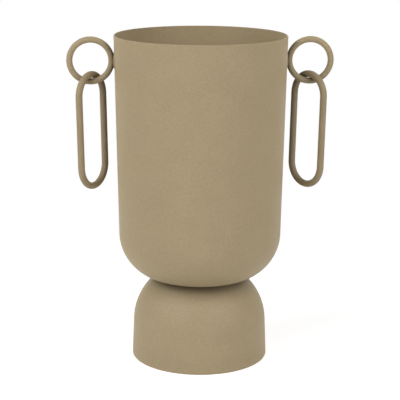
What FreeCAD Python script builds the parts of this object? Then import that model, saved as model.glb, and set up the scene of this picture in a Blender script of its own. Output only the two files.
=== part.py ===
import FreeCAD, Part
import math
import os
import Sketcher

# Urn vase of spun sheet steel. A tall cup stands on an upturned bowl that is its foot, a round bar
# ring is welded on each side below the rim, and an oval link of round bar hangs in each ring.
# Lengths are millimetres and angles are degrees. +Z is up, the front looks along -Y, the rings
# stand to the left and right along X, and the origin is the middle of the circle that it stands on.

SIZES = {
    # the sheet and the height of the two spun shells
    "sheet_thickness": 1.2,
    "overall_height": 340.0,
    "base_height": 89.1,            # the plane where the cup's base lies on the foot's top
    # cup: a slightly tapered wall, a large round, a smaller one and a flat base
    "rim_radius": 88.7,
    "rim_edge_radius": 0.4,
    "cup_wall_angle": 1.13,         # how far the wall leans in on its way down
    "cup_round_radius": 49.0,
    "cup_corner_radius": 19.0,
    "cup_base_inset": 37.9,         # from the rim in to the edge of the flat base
    # foot: a lip turned in at the floor, a short wall, a large shoulder and a flat top
    "foot_radius": 71.3,
    "foot_wall_angle": 2.3,         # how far the wall leans in on its way up
    "foot_bend_radius": 1.85,
    "foot_lip_width": 7.0,
    "foot_round_radius": 60.7,
    "foot_corner_radius": 13.4,
    "foot_top_inset": 34.4,         # from the wall's lower end in to the edge of the flat top
    # weld bead that runs round between the cup's base and the foot's shoulder
    "base_weld_radius": 2.0,
    "base_weld_offset": 5.8,        # from the edge of the foot's flat top out to the bead
    # rings
    "ring_outer_diameter": 48.9,
    "ring_bar_diameter": 6.3,
    "ring_drop": 25.8,              # from the rim down to the ring's centre
    "ring_bite": 0.45,              # how deep the bar is ground to lie on the cup's wall
    # the weld where a ring meets the wall
    "ring_weld_height": 17.2,
    "ring_weld_width": 9.4,
    "ring_weld_stand": 2.2,
    # links
    "link_outer_width": 50.2,
    "link_outer_height": 122.5,
    "link_bar_diameter": 7.0,
    "link_clearance": 0.35,         # between the link's bar and the ring's bar that it hangs on
    "link_lean_angle": 1.07,        # each link's lower end hangs this much nearer to the cup
    "left_link_twist_angle": 56.9,  # how far each link happens to be turned on its ring
    "right_link_twist_angle": 54.8,
}

doc = FreeCAD.newDocument("urn_vase")
sheet = doc.addObject("Spreadsheet::Sheet", "sizes")
for row, (alias, amount) in enumerate(SIZES.items(), start=1):
    sheet.set(f"A{row}", alias)
    sheet.set(f"B{row}", str(amount))
    sheet.setAlias(f"B{row}", alias)
doc.recompute()

# Sizes that follow from the driving ones, as expressions on the sheet.
RING_RADIUS = "(sizes.ring_outer_diameter - sizes.ring_bar_diameter) / 2"
RING_HEIGHT = "(sizes.overall_height - sizes.ring_drop)"
CUP_FLAT_RADIUS = "(sizes.rim_radius - sizes.cup_base_inset)"
FOOT_FLAT_RADIUS = "(sizes.foot_radius - sizes.foot_top_inset)"
LIP_RADIUS = "(sizes.foot_radius - sizes.foot_lip_width)"
WALL_AT_RING = "(sizes.rim_radius - sizes.ring_drop * tan(sizes.cup_wall_angle))"
RING_TO_WALL = "(sizes.ring_outer_diameter / 2 - sizes.ring_bite)"
RING_OUT = f"({WALL_AT_RING} + {RING_TO_WALL})"
HANG_HEIGHT = f"({RING_HEIGHT} - {RING_RADIUS})"
HANG_RISE = "((sizes.ring_bar_diameter + sizes.link_bar_diameter) / 2 + sizes.link_clearance)"
LINK_BEND = "(sizes.link_outer_width - sizes.link_bar_diameter) / 2"
LINK_STRAIGHT = "(sizes.link_outer_height - sizes.link_outer_width)"
BASE_WELD_OUT = f"({FOOT_FLAT_RADIUS} + sizes.base_weld_offset)"


def number(expression):
    """The plain value of an expression on the sheet."""
    return float(sheet.evalExpression(expression))


def origin_plane(body, role):
    """One of a body's own origin planes."""
    return next(item for item in body.Origin.OriginFeatures if item.Role == role)


def new_body(label):
    """An empty body, labelled with the name that its file gets."""
    body = doc.addObject("PartDesign::Body", label)
    body.Label = label
    return body


class Outline:
    """A sketch on one of a body's origin planes, with its sizes bound to the sheet."""

    ORIGIN = (-1, 1)
    ACROSS = -1
    UPRIGHT = -2
    START, END, CENTRE = 1, 2, 3

    def __init__(self, body, name, role):
        self.sketch = body.newObject("Sketcher::SketchObject", name)
        self.sketch.AttachmentSupport = [(origin_plane(body, role), "")]
        self.sketch.MapMode = "FlatFace"

    def line(self, start, end, helper=False):
        """A straight edge; a helper is only there to measure from or to turn about."""
        edge = Part.LineSegment(FreeCAD.Vector(*start, 0), FreeCAD.Vector(*end, 0))
        return self.sketch.addGeometry(edge, helper)

    def arc(self, centre, radius, first, last):
        """A round edge, drawn anticlockwise between two angles in radians."""
        circle = Part.Circle(FreeCAD.Vector(*centre, 0), FreeCAD.Vector(0, 0, 1), radius)
        return self.sketch.addGeometry(Part.ArcOfCircle(circle, first, last))

    def circle(self, centre, radius):
        """A full circle."""
        circle = Part.Circle(FreeCAD.Vector(*centre, 0), FreeCAD.Vector(0, 0, 1), radius)
        return self.sketch.addGeometry(circle)

    def hold(self, kind, *where):
        """A constraint without a size."""
        self.sketch.addConstraint(Sketcher.Constraint(kind, *where))

    def join(self, *edges):
        """Edges that follow each other, end to start."""
        for first, second in zip(edges, edges[1:]):
            self.hold("Coincident", first, self.END, second, self.START)

    def smooth(self, *edges):
        """Edges that run into each other, end to start, with no corner."""
        for first, second in zip(edges, edges[1:]):
            self.hold("Tangent", first, self.END, second, self.START)

    def size(self, name, expression, kind, *where):
        """A constraint whose size follows an expression on the sheet."""
        index = self.sketch.addConstraint(Sketcher.Constraint(kind, *where, number(expression)))
        self.sketch.renameConstraint(index, name)
        self.sketch.setExpression(f"Constraints.{name}", expression)

    def slope(self, name, expression, edge):
        """The direction of a straight edge, in degrees from the sketch's X axis."""
        angle = math.radians(number(expression))
        index = self.sketch.addConstraint(Sketcher.Constraint("Angle", edge, angle))
        self.sketch.renameConstraint(index, name)
        self.sketch.setExpression(f"Constraints.{name}", f"({expression}) * 1 deg")

    def place(self, name, edge, point, across=None, height=None):
        """A point's distances from the origin, each left free where it isn't given."""
        if across:
            self.size(f"{name}_across", across, "DistanceX", *self.ORIGIN, edge, point)
        if height:
            self.size(f"{name}_height", height, "DistanceY", *self.ORIGIN, edge, point)

    def check(self):
        """The sketch, once it is known to be solved and fully held."""
        if self.sketch.solve() != 0 or self.sketch.FullyConstrained is False:
            raise RuntimeError(f"{self.sketch.Name} isn't fully held")
        return self.sketch


class RoundRun:
    """A leaning wall that runs through a large round and a smaller corner into a flat."""

    def __init__(self, start, lean, up, large, corner, flat_radius, flat_height):
        self.start = start
        self.lean = lean
        self.up = up
        self.large = large
        self.corner = corner
        along = (-math.sin(lean), up * math.cos(lean))
        inward = (-math.cos(lean), -up * math.sin(lean))
        self.corner_centre = (flat_radius, flat_height - up * corner)
        offset = [start[i] + large * inward[i] - self.corner_centre[i] for i in (0, 1)]
        toward = offset[0] * along[0] + offset[1] * along[1]
        spare = offset[0] ** 2 + offset[1] ** 2 - (large - corner) ** 2
        travel = -toward - math.sqrt(toward ** 2 - spare)
        self.wall_end = tuple(start[i] + travel * along[i] for i in (0, 1))
        self.large_centre = tuple(self.wall_end[i] + large * inward[i] for i in (0, 1))
        reach = [self.corner_centre[i] - self.large_centre[i] for i in (0, 1)]
        self.turn = math.atan2(reach[1], reach[0])
        self.flat_start = (flat_radius, flat_height)
        self.flat_end = (0, flat_height)

    def thinner(self, thickness):
        """The same run on the inner side of a sheet."""
        start = (self.start[0] - thickness * math.cos(self.lean),
                 self.start[1] - thickness * self.up * math.sin(self.lean))
        height = self.flat_start[1] - self.up * thickness
        return RoundRun(start, self.lean, self.up, self.large - thickness,
                        self.corner - thickness, self.flat_start[0], height)

    def draw_down(self, outline):
        """A run that hangs from its start, drawn from the flat to the wall."""
        flat = outline.line(self.flat_end, self.flat_start)
        corner = outline.arc(self.corner_centre, self.corner, -math.pi / 2, self.turn)
        large = outline.arc(self.large_centre, self.large, self.turn, -self.lean)
        wall = outline.line(self.wall_end, self.start)
        outline.smooth(flat, corner, large, wall)
        outline.hold("Horizontal", flat)
        outline.hold("PointOnObject", flat, outline.START, outline.UPRIGHT)
        return flat, corner, large, wall

    def draw_up(self, outline):
        """A run that stands on its start, drawn from the wall to the flat."""
        wall = outline.line(self.start, self.wall_end)
        large = outline.arc(self.large_centre, self.large, self.lean, self.turn)
        corner = outline.arc(self.corner_centre, self.corner, self.turn, math.pi / 2)
        flat = outline.line(self.flat_start, self.flat_end)
        outline.smooth(wall, large, corner, flat)
        outline.hold("Horizontal", flat)
        outline.hold("PointOnObject", flat, outline.END, outline.UPRIGHT)
        return wall, large, corner, flat


def concentric(outline, first, second):
    """Two arcs share their centre."""
    outline.hold("Coincident", first, outline.CENTRE, second, outline.CENTRE)


def revolve(body, kind, name, outline, axis="V_Axis"):
    """A full turn of an outline, added to the body or cut from it."""
    feature = body.newObject(f"PartDesign::{kind}", name)
    feature.Profile = outline.check()
    feature.ReferenceAxis = (outline.sketch, [axis])
    feature.Angle = 360
    doc.recompute()
    return feature


def cup_run():
    """The cup's outer base, rounds and wall."""
    return RoundRun((number("sizes.rim_radius"), number("sizes.overall_height")),
                    math.radians(number("sizes.cup_wall_angle")), -1,
                    number("sizes.cup_round_radius"), number("sizes.cup_corner_radius"),
                    number(CUP_FLAT_RADIUS), number("sizes.base_height"))


def draw_cup_outside(outline, run):
    """The cup's outer side from the axis out to the rim, with its sizes."""
    flat, corner, large, wall = run.draw_down(outline)
    outline.place("rim", wall, outline.END, "sizes.rim_radius", "sizes.overall_height")
    outline.slope("wall_slope", "90 - sizes.cup_wall_angle", wall)
    outline.size("large_radius", "sizes.cup_round_radius", "Radius", large)
    outline.size("corner_radius", "sizes.cup_corner_radius", "Radius", corner)
    outline.place("flat", corner, outline.CENTRE, CUP_FLAT_RADIUS)
    outline.place("base", flat, outline.END, height="sizes.base_height")
    return flat, corner, large, wall


def make_cup():
    """The spun cup: one sheet from the rim down over its rounds to the flat base."""
    body = new_body("cup")
    outline = Outline(body, "cup_section", "XZ_Plane")
    outer = cup_run()
    inner = outer.thinner(number("sizes.sheet_thickness"))
    flat, corner, large, wall = draw_cup_outside(outline, outer)
    in_flat, in_corner, in_large, in_wall = inner.draw_down(outline)
    concentric(outline, corner, in_corner)
    concentric(outline, large, in_large)
    outline.hold("Parallel", wall, in_wall)
    outline.size("inner_radius", "sizes.cup_round_radius - sizes.sheet_thickness", "Radius", in_large)
    rim = outline.line(outer.start, inner.start)
    middle = outline.line(inner.flat_end, outer.flat_end)
    outline.hold("Horizontal", rim)
    outline.join(wall, rim)
    outline.hold("Coincident", rim, outline.END, in_wall, outline.END)
    outline.hold("Coincident", middle, outline.START, in_flat, outline.START)
    outline.join(middle, flat)
    shell = revolve(body, "Revolution", "cup_shell", outline)

    below_rim = number("sizes.overall_height - sizes.rim_edge_radius")
    edges = [f"Edge{index}" for index, edge in enumerate(shell.Shape.Edges, start=1)
             if edge.BoundBox.ZMin > below_rim]
    rounding = body.newObject("PartDesign::Fillet", "rim_rounding")
    rounding.Base = (shell, edges)
    rounding.setExpression("Radius", "sizes.rim_edge_radius")
    doc.recompute()
    return body


def foot_bend_centre():
    """The middle of the small bend between the foot's wall and its lip."""
    lean = math.radians(number("sizes.foot_wall_angle"))
    bend = number("sizes.foot_bend_radius")
    return number("sizes.foot_radius") - bend * math.cos(lean), bend


def foot_run():
    """The foot's outer wall, shoulder and top."""
    lean = math.radians(number("sizes.foot_wall_angle"))
    start = (number("sizes.foot_radius"),
             number("sizes.foot_bend_radius") * (1 + math.sin(lean)))
    return RoundRun(start, lean, 1, number("sizes.foot_round_radius"),
                    number("sizes.foot_corner_radius"), number(FOOT_FLAT_RADIUS),
                    number("sizes.base_height"))


def draw_foot_outside(outline, run):
    """The foot's outer side from the floor up to the axis, with its sizes."""
    bend_centre = foot_bend_centre()
    floor = outline.line((number(LIP_RADIUS), 0), (bend_centre[0], 0))
    turn = outline.arc(bend_centre, number("sizes.foot_bend_radius"), -math.pi / 2, run.lean)
    wall, large, corner, flat = run.draw_up(outline)
    outline.smooth(floor, turn, wall)
    outline.hold("PointOnObject", floor, outline.START, outline.ACROSS)
    outline.hold("PointOnObject", floor, outline.END, outline.ACROSS)
    outline.place("wall_foot", wall, outline.START, "sizes.foot_radius")
    outline.slope("wall_slope", "90 + sizes.foot_wall_angle", wall)
    outline.size("bend_radius", "sizes.foot_bend_radius", "Radius", turn)
    outline.size("large_radius", "sizes.foot_round_radius", "Radius", large)
    outline.size("corner_radius", "sizes.foot_corner_radius", "Radius", corner)
    outline.place("flat", corner, outline.CENTRE, FOOT_FLAT_RADIUS)
    outline.place("top", flat, outline.START, height="sizes.base_height")
    outline.place("lip", floor, outline.START, LIP_RADIUS)
    return floor, turn, wall, large, corner, flat


def make_foot():
    """The foot: an upturned spun bowl, open below, its edge turned in as a lip to stand on."""
    body = new_body("foot")
    outline = Outline(body, "foot_section", "XZ_Plane")
    thickness = number("sizes.sheet_thickness")
    outer = foot_run()
    inner = outer.thinner(thickness)
    floor, turn, wall, large, corner, flat = draw_foot_outside(outline, outer)

    bend_centre = foot_bend_centre()
    in_bend = number("sizes.foot_bend_radius - sizes.sheet_thickness")
    lip_start = (number(LIP_RADIUS), thickness)
    in_lip = outline.line(lip_start, (bend_centre[0], thickness))
    in_turn = outline.arc(bend_centre, in_bend, -math.pi / 2, outer.lean)
    in_wall, in_large, in_corner, in_flat = inner.draw_up(outline)
    outline.smooth(in_lip, in_turn, in_wall)
    outline.hold("Horizontal", in_lip)
    concentric(outline, turn, in_turn)
    concentric(outline, corner, in_corner)
    concentric(outline, large, in_large)
    outline.hold("Parallel", wall, in_wall)
    outline.size("inner_radius", "sizes.foot_round_radius - sizes.sheet_thickness", "Radius", in_large)
    lip_edge = outline.line(lip_start, (lip_start[0], 0))
    middle = outline.line(outer.flat_end, inner.flat_end)
    outline.hold("Vertical", lip_edge)
    outline.join(lip_edge, floor)
    outline.hold("Coincident", lip_edge, outline.START, in_lip, outline.START)
    outline.join(flat, middle)
    outline.hold("Coincident", middle, outline.END, in_flat, outline.END)
    revolve(body, "Revolution", "foot_shell", outline)
    return body


def make_base_weld():
    """The bead in the narrow gap between the cup's flat base and the foot's shoulder."""
    body = new_body("base_weld")
    bead = Outline(body, "bead_section", "XZ_Plane")
    centre = (number(BASE_WELD_OUT), number("sizes.base_height"))
    edge = bead.circle(centre, number("sizes.base_weld_radius"))
    bead.size("bead_radius", "sizes.base_weld_radius", "Radius", edge)
    bead.place("bead", edge, bead.CENTRE, BASE_WELD_OUT, "sizes.base_height")
    revolve(body, "Revolution", "bead", bead)

    foot = Outline(body, "foot_outside", "XZ_Plane")
    run = foot_run()
    floor, turn, wall, large, corner, flat = draw_foot_outside(foot, run)
    middle = foot.line(run.flat_end, (0, 0))
    bottom = foot.line((0, 0), (number(LIP_RADIUS), 0))
    foot.join(flat, middle, bottom, floor)
    foot.hold("Coincident", middle, foot.END, *foot.ORIGIN)
    revolve(body, "Groove", "seat_on_foot", foot)

    cup = Outline(body, "cup_outside", "XZ_Plane")
    run = cup_run()
    flat, corner, large, wall = draw_cup_outside(cup, run)
    mouth = cup.line(run.start, (0, run.start[1]))
    middle = cup.line((0, run.start[1]), run.flat_end)
    cup.join(wall, mouth, middle, flat)
    cup.hold("Horizontal", mouth)
    cup.hold("PointOnObject", mouth, cup.END, cup.UPRIGHT)
    revolve(body, "Groove", "seat_on_cup", cup)
    return body


def ring_bar(body, kind, name):
    """The ring's round bar turned about the ring's own centre, added or cut."""
    outline = Outline(body, f"{name}_section", "XY_Plane")
    bar = outline.circle((number(RING_RADIUS), 0), number("sizes.ring_bar_diameter / 2"))
    outline.size("bar_diameter", "sizes.ring_bar_diameter", "Diameter", bar)
    outline.place("bar", bar, outline.CENTRE, RING_RADIUS)
    outline.hold("PointOnObject", bar, outline.CENTRE, outline.ACROSS)
    revolve(body, kind, name, outline)


def cut_wall_seat(body):
    """Cuts away what would lie inside the cup's outer wall, seen from a ring's centre."""
    outline = Outline(body, "wall_outside", "XZ_Plane")
    reach = "sizes.ring_outer_diameter / 2"
    low = f"{WALL_AT_RING} - {reach} * tan(sizes.cup_wall_angle)"
    high = f"{WALL_AT_RING} + {reach} * tan(sizes.cup_wall_angle)"
    axis_across, half = -number(RING_OUT), number(reach)
    axis = outline.line((axis_across, -half), (axis_across, half), helper=True)
    middle = outline.line((axis_across, half), (axis_across, -half))
    bottom = outline.line((axis_across, -half), (axis_across + number(low), -half))
    wall = outline.line((axis_across + number(low), -half), (axis_across + number(high), half))
    top = outline.line((axis_across + number(high), half), (axis_across, half))
    outline.join(middle, bottom, wall, top, middle)
    for edge in (bottom, top):
        outline.hold("Horizontal", edge)
    outline.hold("Vertical", middle)
    outline.hold("Coincident", axis, outline.START, middle, outline.END)
    outline.hold("Coincident", axis, outline.END, middle, outline.START)
    outline.size("axis_across", RING_OUT, "DistanceX", axis, outline.START, *outline.ORIGIN)
    outline.size("below", reach, "DistanceY", axis, outline.START, *outline.ORIGIN)
    outline.place("above", axis, outline.END, height=reach)
    outline.size("low_radius", low, "DistanceX", bottom, outline.START, bottom, outline.END)
    outline.size("high_radius", high, "DistanceX", top, outline.END, top, outline.START)
    revolve(body, "Groove", "wall_seat", outline, "Axis0")


def stand_at_ring(body, side):
    """Moves a piece drawn round the ring's centre to its side of the cup: -1 left, 1 right."""
    turn = 0 if side > 0 else 180
    where = f"vector({side} * {RING_OUT}; 0; {RING_HEIGHT})"
    body.setExpression("Placement", f"placement({where}; rotation(vector(0; 0; 1); {turn}))")


def make_ring(side_name, side):
    """A closed ring of round bar, ground on one side to lie on the wall."""
    body = new_body(f"{side_name}_ring")
    ring_bar(body, "Revolution", "ring")
    cut_wall_seat(body)
    stand_at_ring(body, side)
    return body


def make_ring_weld(side_name, side):
    """The flat bead that joins a ring to the wall, worn away where the ring's bar lies."""
    body = new_body(f"{side_name}_ring_weld")
    bead = body.newObject("PartDesign::AdditiveEllipsoid", "bead")
    bead.AttachmentSupport = [(origin_plane(body, "XY_Plane"), "")]
    bead.MapMode = "FlatFace"
    bead.setExpression("AttachmentOffset.Base.x", f"-{RING_TO_WALL}")
    bead.setExpression("Radius1", "sizes.ring_weld_height / 2")
    bead.setExpression("Radius2", "sizes.ring_weld_stand")
    bead.setExpression("Radius3", "sizes.ring_weld_width / 2")
    doc.recompute()
    cut_wall_seat(body)
    ring_bar(body, "Groove", "ring_bed")
    stand_at_ring(body, side)
    return body


def make_link(side_name, side):
    """An oval link of round bar, threaded through the ring and hanging on its lowest point."""
    body = new_body(f"{side_name}_link")
    path = Outline(body, "oval", "XZ_Plane")
    bend = number(LINK_BEND)
    rise = number(HANG_RISE)
    high = rise - bend
    low = high - number(LINK_STRAIGHT)
    right = path.line((bend, low), (bend, high))
    top = path.arc((0, high), bend, 0, math.pi)
    left = path.line((-bend, high), (-bend, low))
    bottom = path.arc((0, low), bend, math.pi, 2 * math.pi)
    path.smooth(right, top, left, bottom, right)
    path.hold("Vertical", right)
    path.hold("Vertical", left)
    path.hold("PointOnObject", top, path.CENTRE, path.UPRIGHT)
    path.size("bend_radius", LINK_BEND, "Radius", top)
    path.size("straight", LINK_STRAIGHT, "DistanceY", right, path.START, right, path.END)
    path.size("hang", f"{LINK_BEND} - {HANG_RISE}", "DistanceY", top, path.CENTRE, *path.ORIGIN)
    section = Outline(body, "bar_section", "XY_Plane")
    bar = section.circle((bend, 0), number("sizes.link_bar_diameter / 2"))
    section.size("bar_diameter", "sizes.link_bar_diameter", "Diameter", bar)
    section.place("bar", bar, section.CENTRE, LINK_BEND)
    section.hold("PointOnObject", bar, section.CENTRE, section.ACROSS)
    section.sketch.setExpression("AttachmentOffset.Base.z", f"{HANG_RISE} - {LINK_BEND}")
    pipe = body.newObject("PartDesign::AdditivePipe", "link_bar")
    pipe.Profile = section.check()
    pipe.Spine = (path.check(), [])
    where = f"vector({side} * {RING_OUT}; 0; {HANG_HEIGHT})"
    lean = f"rotation(vector(0; 1; 0); {side} * sizes.link_lean_angle)"
    twist = f"rotation(vector(0; 0; 1); {-side} * sizes.{side_name}_link_twist_angle)"
    body.setExpression("Placement", f"placement({where}; {lean} * {twist})")
    doc.recompute()
    return body


pieces = [make_cup(), make_foot(), make_base_weld()]
for name, side in (("left", -1), ("right", 1)):
    pieces += [make_ring(name, side), make_ring_weld(name, side), make_link(name, side)]
doc.recompute()

for item in doc.Objects:
    if {"Invalid", "Error"} & set(item.State):
        raise RuntimeError(f"{item.Name} failed: {item.State}")
for piece in pieces:
    if piece.Shape.isNull() or not piece.Shape.isValid() or len(piece.Shape.Solids) != 1:
        raise RuntimeError(f"{piece.Label} isn't one valid solid")

os.makedirs("parts", exist_ok=True)
for piece in pieces:
    piece.Shape.exportStep(f"parts/{piece.Label}.step")
    box = piece.Shape.BoundBox
    print(f"{piece.Label}: {piece.Shape.Volume:.1f} mm3,",
          f"x {box.XMin:.2f} to {box.XMax:.2f}, y {box.YMin:.2f} to {box.YMax:.2f},",
          f"z {box.ZMin:.2f} to {box.ZMax:.2f}")
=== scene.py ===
"""An urn vase of powder-coated steel: finishes, weld beads, lights and camera round the frame."""

import logging
import math
from dataclasses import dataclass
from enum import Enum

import bmesh
import bpy
from mathutils import Matrix, Vector, noise


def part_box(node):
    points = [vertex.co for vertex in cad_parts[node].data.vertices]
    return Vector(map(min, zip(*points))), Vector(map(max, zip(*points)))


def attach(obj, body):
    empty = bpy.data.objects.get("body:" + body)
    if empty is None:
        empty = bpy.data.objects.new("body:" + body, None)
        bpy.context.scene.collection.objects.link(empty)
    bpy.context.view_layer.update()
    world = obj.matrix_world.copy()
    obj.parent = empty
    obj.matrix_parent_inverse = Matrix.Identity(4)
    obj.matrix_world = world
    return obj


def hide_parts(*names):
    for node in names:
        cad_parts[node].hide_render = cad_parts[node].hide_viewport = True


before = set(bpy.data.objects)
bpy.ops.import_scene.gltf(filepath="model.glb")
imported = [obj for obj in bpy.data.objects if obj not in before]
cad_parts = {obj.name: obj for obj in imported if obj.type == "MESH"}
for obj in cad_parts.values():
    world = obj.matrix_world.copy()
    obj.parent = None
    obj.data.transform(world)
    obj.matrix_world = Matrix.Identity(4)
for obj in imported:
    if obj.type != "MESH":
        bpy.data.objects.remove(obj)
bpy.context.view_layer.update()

LOG = logging.getLogger("urn_vase")
MM = 0.001
VASE_BODY = "vase"
# points of a new mesh that are closer than this are one point
MERGE_REACH = 0.001 * MM
# the strength at which a light surface looks just white
WHITE = 1.0


class Side(Enum):
    """The side of the cup that a ring and its link are on; its value is the direction along X."""

    LEFT = -1
    RIGHT = 1

    @property
    def word(self) -> str:
        """The side's name as the nodes' names begin with it."""
        return self.name.lower()


class Stock(Enum):
    """What the coated steel was before it was coated."""

    SHEET = "spun steel sheet"
    BAR = "round steel bar"
    LINK = "loose link of round bar"
    WELD = "steel weld bead"


def linear_colour(code: str) -> tuple[float, float, float, float]:
    """Turns an sRGB hex code into a linear colour.

    Args:
        code: Six hex digits after a hash sign.

    Returns:
        Red, green, blue and an alpha of 1.
    """
    parts = [int(code[i:i + 2], 16) / 255 for i in (1, 3, 5)]
    lit = [p / 12.92 if p <= 0.04045 else ((p + 0.055) / 1.055) ** 2.4 for p in parts]
    return (*lit, 1.0)


def add_node(tree: bpy.types.NodeTree, kind: str, feeds: dict | None = None,
             **settings: object) -> bpy.types.Node:
    """Adds a node with its settings and what each of its inputs gets.

    Args:
        tree: The node tree that the node goes into.
        kind: The node's type name.
        feeds: For each input's name or number, the output socket that feeds it or a plain value.
        **settings: Properties of the node itself.

    Returns:
        The new node.
    """
    node = tree.nodes.new(kind)
    for name, value in settings.items():
        setattr(node, name, value)
    for name, value in (feeds or {}).items():
        if isinstance(value, bpy.types.NodeSocket):
            tree.links.new(value, node.inputs[name])
        else:
            node.inputs[name].default_value = value
    return node


def white_seekers(tree: bpy.types.NodeTree) -> bpy.types.NodeSocket:
    """Picks the rays that find a plain white studio: the camera's, and those of gloss and glass.

    Args:
        tree: The node tree that asks.

    Returns:
        A socket that gives 1 for such a ray and 0 for the light's other rays.
    """
    path = add_node(tree, "ShaderNodeLightPath").outputs
    found = path["Is Camera Ray"]
    for other in ("Is Glossy Ray", "Is Transmission Ray"):
        found = add_node(tree, "ShaderNodeMath", {0: found, 1: path[other]},
                         operation="MAXIMUM").outputs["Value"]
    return found


@dataclass(frozen=True)
class PowderCoat:
    """Matt textured powder coat: polyester powder, sprayed on blasted steel and melted."""

    # The powder flows out into a fine, even, pebbled skin with no direction and hardly any gloss,
    # so the eye sees a soft dry surface with tiny light and dark specks and no clear reflection.
    stock: Stock
    colour: str = "#ae9c7a"
    deep_colour: str = "#a2906e"
    roughness: float = 0.58
    roughness_spread: float = 0.06
    # polyester
    index: float = 1.5
    # the pebbles throw light back the way it came, so the coat looks flatter than a smooth one
    diffuse_roughness: float = 0.6
    # the real pebbles are about 0.4 mm across, too fine for the picture, so they are drawn coarser
    pebble: float = 1.5 * MM
    pebble_height: float = 0.06 * MM
    pebble_detail: float = 2.0
    pebble_fineness: float = 0.6
    # slow changes in the coat's thickness, which show as a faint cloudiness
    cloud: float = 28 * MM
    cloud_share: float = 0.3
    cloud_detail: float = 3.0
    cloud_fineness: float = 0.55
    # the band of the noise, from its low to its high values, that takes the whole range of a look
    noise_low: float = 0.35
    noise_high: float = 0.65
    # painted shade: the coat is darkened where other surfaces are near, in corners and seams
    # where shade falls: the reach of the wide and of the narrow places, and the share of colour
    # lost
    shade_corner_reach: float = 22 * MM
    corner_shade_share: float = 0.55
    shade_seam_reach: float = 3.5 * MM
    seam_shade_share: float = 0.6
    shade_samples: int = 8
    # painted shade fades out at the foot's open lower edge: none at the floor, all of it at this
    # height
    shade_fade_height: float = 30 * MM

    def make(self) -> bpy.types.Material:
        """Builds the material, whose pattern lies on object coordinates.

        Returns:
            The new material.
        """
        material = bpy.data.materials.new(f"powder coat on {self.stock.value}")
        material.use_nodes = True
        tree = material.node_tree
        tree.nodes.clear()
        place = add_node(tree, "ShaderNodeTexCoord").outputs["Object"]
        pebbles = add_node(tree, "ShaderNodeTexNoise",
                           {"Vector": place, "Scale": 1 / self.pebble,
                            "Detail": self.pebble_detail,
                            "Roughness": self.pebble_fineness}).outputs["Fac"]
        clouds = add_node(tree, "ShaderNodeTexNoise",
                          {"Vector": place, "Scale": 1 / self.cloud,
                           "Detail": self.cloud_detail,
                           "Roughness": self.cloud_fineness}).outputs["Fac"]
        tone = add_node(tree, "ShaderNodeMix",
                        {"Factor": self.cloud_share, "A": pebbles, "B": clouds}).outputs["Result"]
        spread = add_node(tree, "ShaderNodeMapRange",
                          {"Value": tone, "From Min": self.noise_low,
                           "From Max": self.noise_high}).outputs["Result"]
        skin = add_node(tree, "ShaderNodeMix",
                        {"Factor": spread, "A": linear_colour(self.deep_colour),
                         "B": linear_colour(self.colour)}, data_type="RGBA").outputs["Result"]
        # painted shade: the colour is darkened in corners and seams, where shade falls
        skin = self.paint_shade(tree, skin, place)
        rough = add_node(tree, "ShaderNodeMapRange",
                         {"Value": clouds, "From Min": self.noise_low, "From Max": self.noise_high,
                          "To Min": self.roughness - self.roughness_spread,
                          "To Max": self.roughness + self.roughness_spread}).outputs["Result"]
        relief = add_node(tree, "ShaderNodeBump",
                          {"Height": pebbles, "Strength": 1.0,
                           "Distance": self.pebble_height}).outputs["Normal"]
        coat = add_node(tree, "ShaderNodeBsdfPrincipled",
                        {"Base Color": skin, "Roughness": rough, "Normal": relief,
                         "Diffuse Roughness": self.diffuse_roughness, "Metallic": 0.0,
                         "IOR": self.index}).outputs["BSDF"]
        add_node(tree, "ShaderNodeOutputMaterial", {"Surface": coat})
        return material

    def paint_shade(self, tree: bpy.types.NodeTree, skin: bpy.types.NodeSocket,
               place: bpy.types.NodeSocket) -> bpy.types.NodeSocket:
        """Paints shade into the coat's colour in its corners and narrow places.

        Args:
            tree: The coat's node tree.
            skin: The coat's colour in the open.
            place: The object coordinates.

        Returns:
            The colour with painted shade in the narrow places.
        """
        height = add_node(tree, "ShaderNodeSeparateXYZ", {"Vector": place}).outputs["Z"]
        above = add_node(tree, "ShaderNodeMapRange",
                         {"Value": height, "From Max": self.shade_fade_height}).outputs["Result"]
        places = ((self.shade_corner_reach, self.corner_shade_share), (self.shade_seam_reach, self.seam_shade_share))
        for reach, share in places:
            # each pass paints shade: where ambient occlusion finds surfaces within the reach, the
            # colour darkens
            open_share = add_node(tree, "ShaderNodeAmbientOcclusion", {"Distance": reach},
                                  samples=self.shade_samples).outputs["AO"]
            painted_shade = add_node(tree, "ShaderNodeMapRange",
                            {"Value": open_share, "To Min": share,
                             "To Max": 0.0}).outputs["Result"]
            painted_shade = add_node(tree, "ShaderNodeMath", {0: painted_shade, 1: above},
                            operation="MULTIPLY").outputs["Value"]
            kept = add_node(tree, "ShaderNodeMath", {0: 1.0, 1: painted_shade},
                            operation="SUBTRACT").outputs["Value"]
            skin = add_node(tree, "ShaderNodeVectorMath", {0: skin, "Scale": kept},
                            operation="SCALE").outputs["Vector"]
        return skin


def dress(node: str, material: bpy.types.Material) -> bpy.types.Object:
    """Gives a node of the frame a finish in its own material slots.

    Args:
        node: The node's name.
        material: The finish.

    Returns:
        The node's object.
    """
    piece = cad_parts[node]
    for slot in piece.material_slots:
        slot.material = material
    LOG.info("%s: carried over with %s", node, material.name)
    return piece


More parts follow.
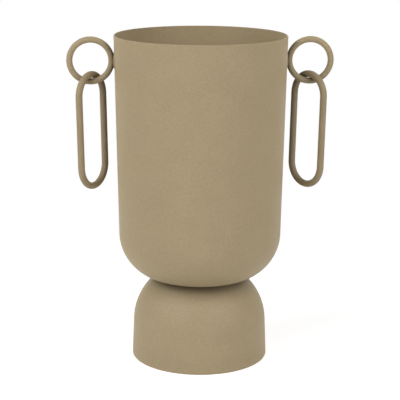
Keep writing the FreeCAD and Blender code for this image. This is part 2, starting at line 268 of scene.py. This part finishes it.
def new_piece(name: str, mesh: bmesh.types.BMesh,
              material: bpy.types.Material) -> bpy.types.Object:
    """Makes an object at the origin from a finished bmesh, with smooth faces that point outwards.

    Args:
        name: The piece's name.
        mesh: The bmesh, which is freed.
        material: The finish.

    Returns:
        The new object, which rides on the vase's body.
    """
    bmesh.ops.remove_doubles(mesh, verts=mesh.verts, dist=MERGE_REACH)
    bmesh.ops.recalc_face_normals(mesh, faces=mesh.faces)
    data = bpy.data.meshes.new(name)
    mesh.to_mesh(data)
    mesh.free()
    data.shade_smooth()
    data.materials.append(material)
    piece = bpy.data.objects.new(name, data)
    bpy.context.scene.collection.objects.link(piece)
    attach(piece, VASE_BODY)
    LOG.info("%s: modelled with %d faces", name, len(data.polygons))
    return piece


@dataclass
class SpunShells:
    """The cup and the foot, both spun from sheet, and the weld bead that joins them.

    The bead runs round in the narrow gap between the cup's flat base and the foot's shoulder.
    """

    sheet_finish: bpy.types.Material
    weld_finish: bpy.types.Material
    bead_radius: float = 2.0 * MM
    bead_flat_share: float = 0.62
    bead_sink: float = 0.6 * MM
    ripple_pitch: float = 3.0 * MM
    ripple_depth: float = 0.18 * MM
    steps_per_ripple: int = 6
    section_points: int = 14

    def build(self) -> None:
        """Dresses the two shells and lays the bead."""
        dress("cup", self.sheet_finish)
        dress("foot", self.sheet_finish)
        self.lay_bead()

    def lay_bead(self) -> bpy.types.Object:
        """Spins the bead's section round the vase's axis and draws in the ripples of the weld pool.

        Returns:
            The bead, which stands for the node base_weld.
        """
        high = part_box("base_weld")[1]
        # how far the bead's middle runs from the vase's axis
        run = high.x - self.bead_radius
        ripples = round(2 * math.pi * run / self.ripple_pitch)
        bead = bmesh.new()
        ring = bmesh.ops.create_circle(bead, segments=self.section_points, radius=self.bead_radius,
                                       matrix=Matrix.Rotation(math.pi / 2, 4, "X"))
        bmesh.ops.scale(bead, vec=(1, 1, self.bead_flat_share), verts=ring["verts"])
        height = high.z + self.bead_sink - self.bead_radius * self.bead_flat_share
        bmesh.ops.translate(bead, vec=(run, 0, height), verts=ring["verts"])
        bmesh.ops.spin(bead, geom=bead.verts[:] + bead.edges[:], cent=(0, 0, 0), axis=(0, 0, 1),
                       angle=2 * math.pi, steps=ripples * self.steps_per_ripple, use_merge=True)
        for point in bead.verts:
            turn = math.atan2(point.co.y, point.co.x)
            out = (math.hypot(point.co.x, point.co.y) - run) / self.bead_radius
            if out > 0:
                shift = self.ripple_depth * out * math.cos(turn * ripples)
                point.co += Vector((math.cos(turn), math.sin(turn), 0)) * shift
        piece = new_piece("base_weld_bead", bead, self.weld_finish)
        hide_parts("base_weld")
        return piece


@dataclass
class RingMount:
    """A closed bar ring on one side of the cup and the weld bead that holds it to the wall."""

    side: Side
    bar_finish: bpy.types.Material
    weld_finish: bpy.types.Material
    bead_stand: float = 1.8 * MM
    bead_sink: float = 0.6 * MM
    around: int = 48
    along: int = 40
    ripples: float = 7.0
    ripple_depth: float = 0.12 * MM
    lump_size: float = 5.0 * MM
    lump_depth: float = 0.3 * MM
    lump_seed: int = 7

    def build(self) -> None:
        """Dresses the ring and lays its bead."""
        dress(f"{self.side.word}_ring", self.bar_finish)
        self.lay_bead()

    def lay_bead(self) -> bpy.types.Object:
        """Flattens a rippled ball against the wall and cuts off what the wall hides.

        Returns:
            The bead, which stands for the side's ring weld node.
        """
        node = f"{self.side.word}_ring_weld"
        low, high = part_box(node)
        wall = min(abs(low.x), abs(high.x)) * self.side.value
        centre = Vector((wall, (low.y + high.y) / 2, (low.z + high.z) / 2))
        half = Vector((self.bead_stand, (high.y - low.y) / 2, (high.z - low.z) / 2))
        bead = bmesh.new()
        bmesh.ops.create_uvsphere(bead, u_segments=self.around, v_segments=self.along, radius=1)
        for point in bead.verts:
            turn = math.pi * self.ripples * point.co.z
            wave = 1 + self.ripple_depth / self.bead_stand * math.cos(turn)
            point.co.x *= wave
            point.co.y *= wave
        bmesh.ops.scale(bead, vec=half, verts=bead.verts)
        bmesh.ops.translate(bead, vec=centre, verts=bead.verts)
        noise.seed_set(self.lump_seed)
        for point in bead.verts:
            point.co += noise.noise_vector(point.co / self.lump_size) * self.lump_depth
        whole = bead.verts[:] + bead.edges[:] + bead.faces[:]
        hidden_from = wall - self.side.value * self.bead_sink
        cut = bmesh.ops.bisect_plane(bead, geom=whole, plane_co=(hidden_from, 0, 0),
                                     plane_no=(-self.side.value, 0, 0), clear_outer=True)
        rim = [item for item in cut["geom_cut"] if isinstance(item, bmesh.types.BMEdge)]
        bmesh.ops.holes_fill(bead, edges=rim)
        piece = new_piece(f"{node}_bead", bead, self.weld_finish)
        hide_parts(node)
        return piece


@dataclass
class HangingLink:
    """The oval link of round bar that is threaded through a ring and swings in it."""

    side: Side
    bar_finish: bpy.types.Material

    def build(self) -> None:
        """Dresses the link."""
        dress(f"{self.side.word}_link", self.bar_finish)


@dataclass(frozen=True)
class SoftBox:
    """A rectangular lamp: its name, its middle, its width and height, and its power in watts."""

    name: str
    place: tuple[float, float, float]
    size: tuple[float, float]
    power: float


@dataclass
class Studio:
    """A plain white studio: floor, surrounding light, soft boxes and the photograph's camera."""

    # camera, found by fitting the vase's outline in the photograph, where it stands turned a little
    camera_place: tuple[float, float, float] = (0.0, -1321.0 * MM, 489.25 * MM)
    camera_turn: float = math.radians(-3.6)
    camera_pitch: float = math.radians(13.69)
    camera_roll: float = math.radians(0.315)
    camera_lens_mm: float = 116.94
    sensor_mm: float = 36.0
    # lights: an even surround, more of it from the front, which is -Y, and the soft boxes
    surround: float = 0.1
    front_surround: float = 0.4
    boxes: tuple[SoftBox, ...] = (
        SoftBox("left_soft_box", (-1.41, -0.91, 1.27), (1.6, 0.8), 23.6),
        SoftBox("right_soft_box", (1.19, -1.19, 1.27), (1.4, 1.2), 17.4),
        SoftBox("back_soft_box", (0.0, 2.2, 0.3), (1.2, 0.8), 14.0),
    )
    aim: tuple[float, float, float] = (0.0, 0.0, 0.18)
    # floor
    floor_radius: float = 6.0
    floor_sides: int = 96
    floor_colour: str = "#f2f2f2"
    # just under the foot's lip, so that the two faces don't share a plane
    floor_drop: float = 0.1 * MM
    # near the vase the camera sees this much white added to the floor's own light and shadow; from
    # there out to the far reach it fades into plain white, because the lamps don't reach there
    floor_lift: float = 0.6
    near_reach: float = 0.2
    far_reach: float = 0.45

    def build(self) -> None:
        """Sets up the floor, the lights and the camera."""
        view = bpy.context.scene.view_settings
        view.view_transform = "Standard"
        self.lay_floor()
        self.light_surround()
        for box in self.boxes:
            self.hang(box)
        self.place_camera()

    def lay_floor(self) -> None:
        """A pale floor that looks white to the camera and still takes the vase's soft shadow."""
        disc = bmesh.new()
        bmesh.ops.create_circle(disc, cap_ends=True, segments=self.floor_sides,
                                radius=self.floor_radius)
        bmesh.ops.translate(disc, vec=(0, 0, -self.floor_drop), verts=disc.verts)
        data = bpy.data.meshes.new("floor")
        disc.to_mesh(data)
        disc.free()
        material = bpy.data.materials.new("white studio floor")
        material.use_nodes = True
        tree = material.node_tree
        tree.nodes.clear()
        matt = add_node(tree, "ShaderNodeBsdfDiffuse",
                        {"Color": linear_colour(self.floor_colour)}).outputs["BSDF"]
        seen = white_seekers(tree)
        place = add_node(tree, "ShaderNodeTexCoord").outputs["Object"]
        out = add_node(tree, "ShaderNodeVectorMath", {0: place},
                       operation="LENGTH").outputs["Value"]
        lift = add_node(tree, "ShaderNodeMath", {0: seen, 1: self.floor_lift},
                        operation="MULTIPLY").outputs["Value"]
        glow = add_node(tree, "ShaderNodeEmission", {"Strength": lift}).outputs["Emission"]
        near = add_node(tree, "ShaderNodeAddShader", {0: matt, 1: glow}).outputs["Shader"]
        white = add_node(tree, "ShaderNodeEmission", {"Strength": WHITE}).outputs["Emission"]
        fade = add_node(tree, "ShaderNodeMapRange",
                        {"Value": out, "From Min": self.near_reach,
                         "From Max": self.far_reach}).outputs["Result"]
        fade = add_node(tree, "ShaderNodeMath", {0: seen, 1: fade},
                        operation="MULTIPLY").outputs["Value"]
        both = add_node(tree, "ShaderNodeMixShader",
                        {0: fade, 1: near, 2: white}).outputs["Shader"]
        add_node(tree, "ShaderNodeOutputMaterial", {"Surface": both})
        data.materials.append(material)
        floor = bpy.data.objects.new("floor", data)
        bpy.context.scene.collection.objects.link(floor)
        LOG.info("floor: laid")

    def light_surround(self) -> None:
        """Lights the vase softly all round, more from the front, and shows plain white round it."""
        world = bpy.data.worlds.new("white surround")
        world.use_nodes = True
        tree = world.node_tree
        tree.nodes.clear()
        seen = white_seekers(tree)
        direction = add_node(tree, "ShaderNodeTexCoord").outputs["Generated"]
        to_back = add_node(tree, "ShaderNodeSeparateXYZ", {"Vector": direction}).outputs["Y"]
        level = add_node(tree, "ShaderNodeMapRange",
                         {"Value": to_back, "From Min": -1.0, "From Max": 0.0,
                          "To Min": self.surround + self.front_surround,
                          "To Max": self.surround}).outputs["Result"]
        strength = add_node(tree, "ShaderNodeMix",
                            {"Factor": seen, "A": level, "B": WHITE}).outputs["Result"]
        glow = add_node(tree, "ShaderNodeBackground",
                        {"Color": linear_colour("#ffffff"),
                         "Strength": strength}).outputs["Background"]
        add_node(tree, "ShaderNodeOutputWorld", {"Surface": glow})
        bpy.context.scene.world = world
        LOG.info("surround: %.2f", self.surround)

    def hang(self, box: SoftBox) -> None:
        """Hangs a soft box that is turned to the middle of the vase.

        Args:
            box: The soft box.
        """
        lamp = bpy.data.lights.new(box.name, "AREA")
        lamp.shape = "RECTANGLE"
        lamp.size, lamp.size_y = box.size
        lamp.energy = box.power
        holder = bpy.data.objects.new(box.name, lamp)
        holder.location = box.place
        toward = Vector(self.aim) - Vector(box.place)
        holder.rotation_euler = toward.to_track_quat("-Z", "Y").to_euler()
        bpy.context.scene.collection.objects.link(holder)
        LOG.info("%s: %.1f W", box.name, box.power)

    def place_camera(self) -> None:
        """Puts the camera where the photograph was taken from."""
        data = bpy.data.cameras.new("camera")
        data.sensor_width = self.sensor_mm
        data.lens = self.camera_lens_mm
        camera = bpy.data.objects.new("camera", data)
        around = Matrix.Rotation(self.camera_turn, 4, "Z")
        pitch = Matrix.Rotation(math.pi / 2 - self.camera_pitch, 4, "X")
        roll = Matrix.Rotation(self.camera_roll, 4, "Z")
        camera.matrix_world = around @ Matrix.Translation(self.camera_place) @ pitch @ roll
        bpy.context.scene.collection.objects.link(camera)
        bpy.context.scene.camera = camera
        LOG.info("camera: %.1f mm lens", self.camera_lens_mm)


def main() -> None:
    """Builds the vase's finishes and beads, then the studio around it."""
    logging.basicConfig(level=logging.INFO, format="%(message)s")
    sheet = PowderCoat(Stock.SHEET).make()
    bar = PowderCoat(Stock.BAR).make()
    # the links get a darker copy of the coat: painted shade for the shade that falls on them by the
    # vase
    link = PowderCoat(Stock.LINK, colour="#a59474", deep_colour="#998868").make()
    weld = PowderCoat(Stock.WELD).make()
    SpunShells(sheet, weld).build()
    for side in Side:
        RingMount(side, bar, weld).build()
        HangingLink(side, link).build()
    Studio().build()


if __name__ == "__main__":
    main()
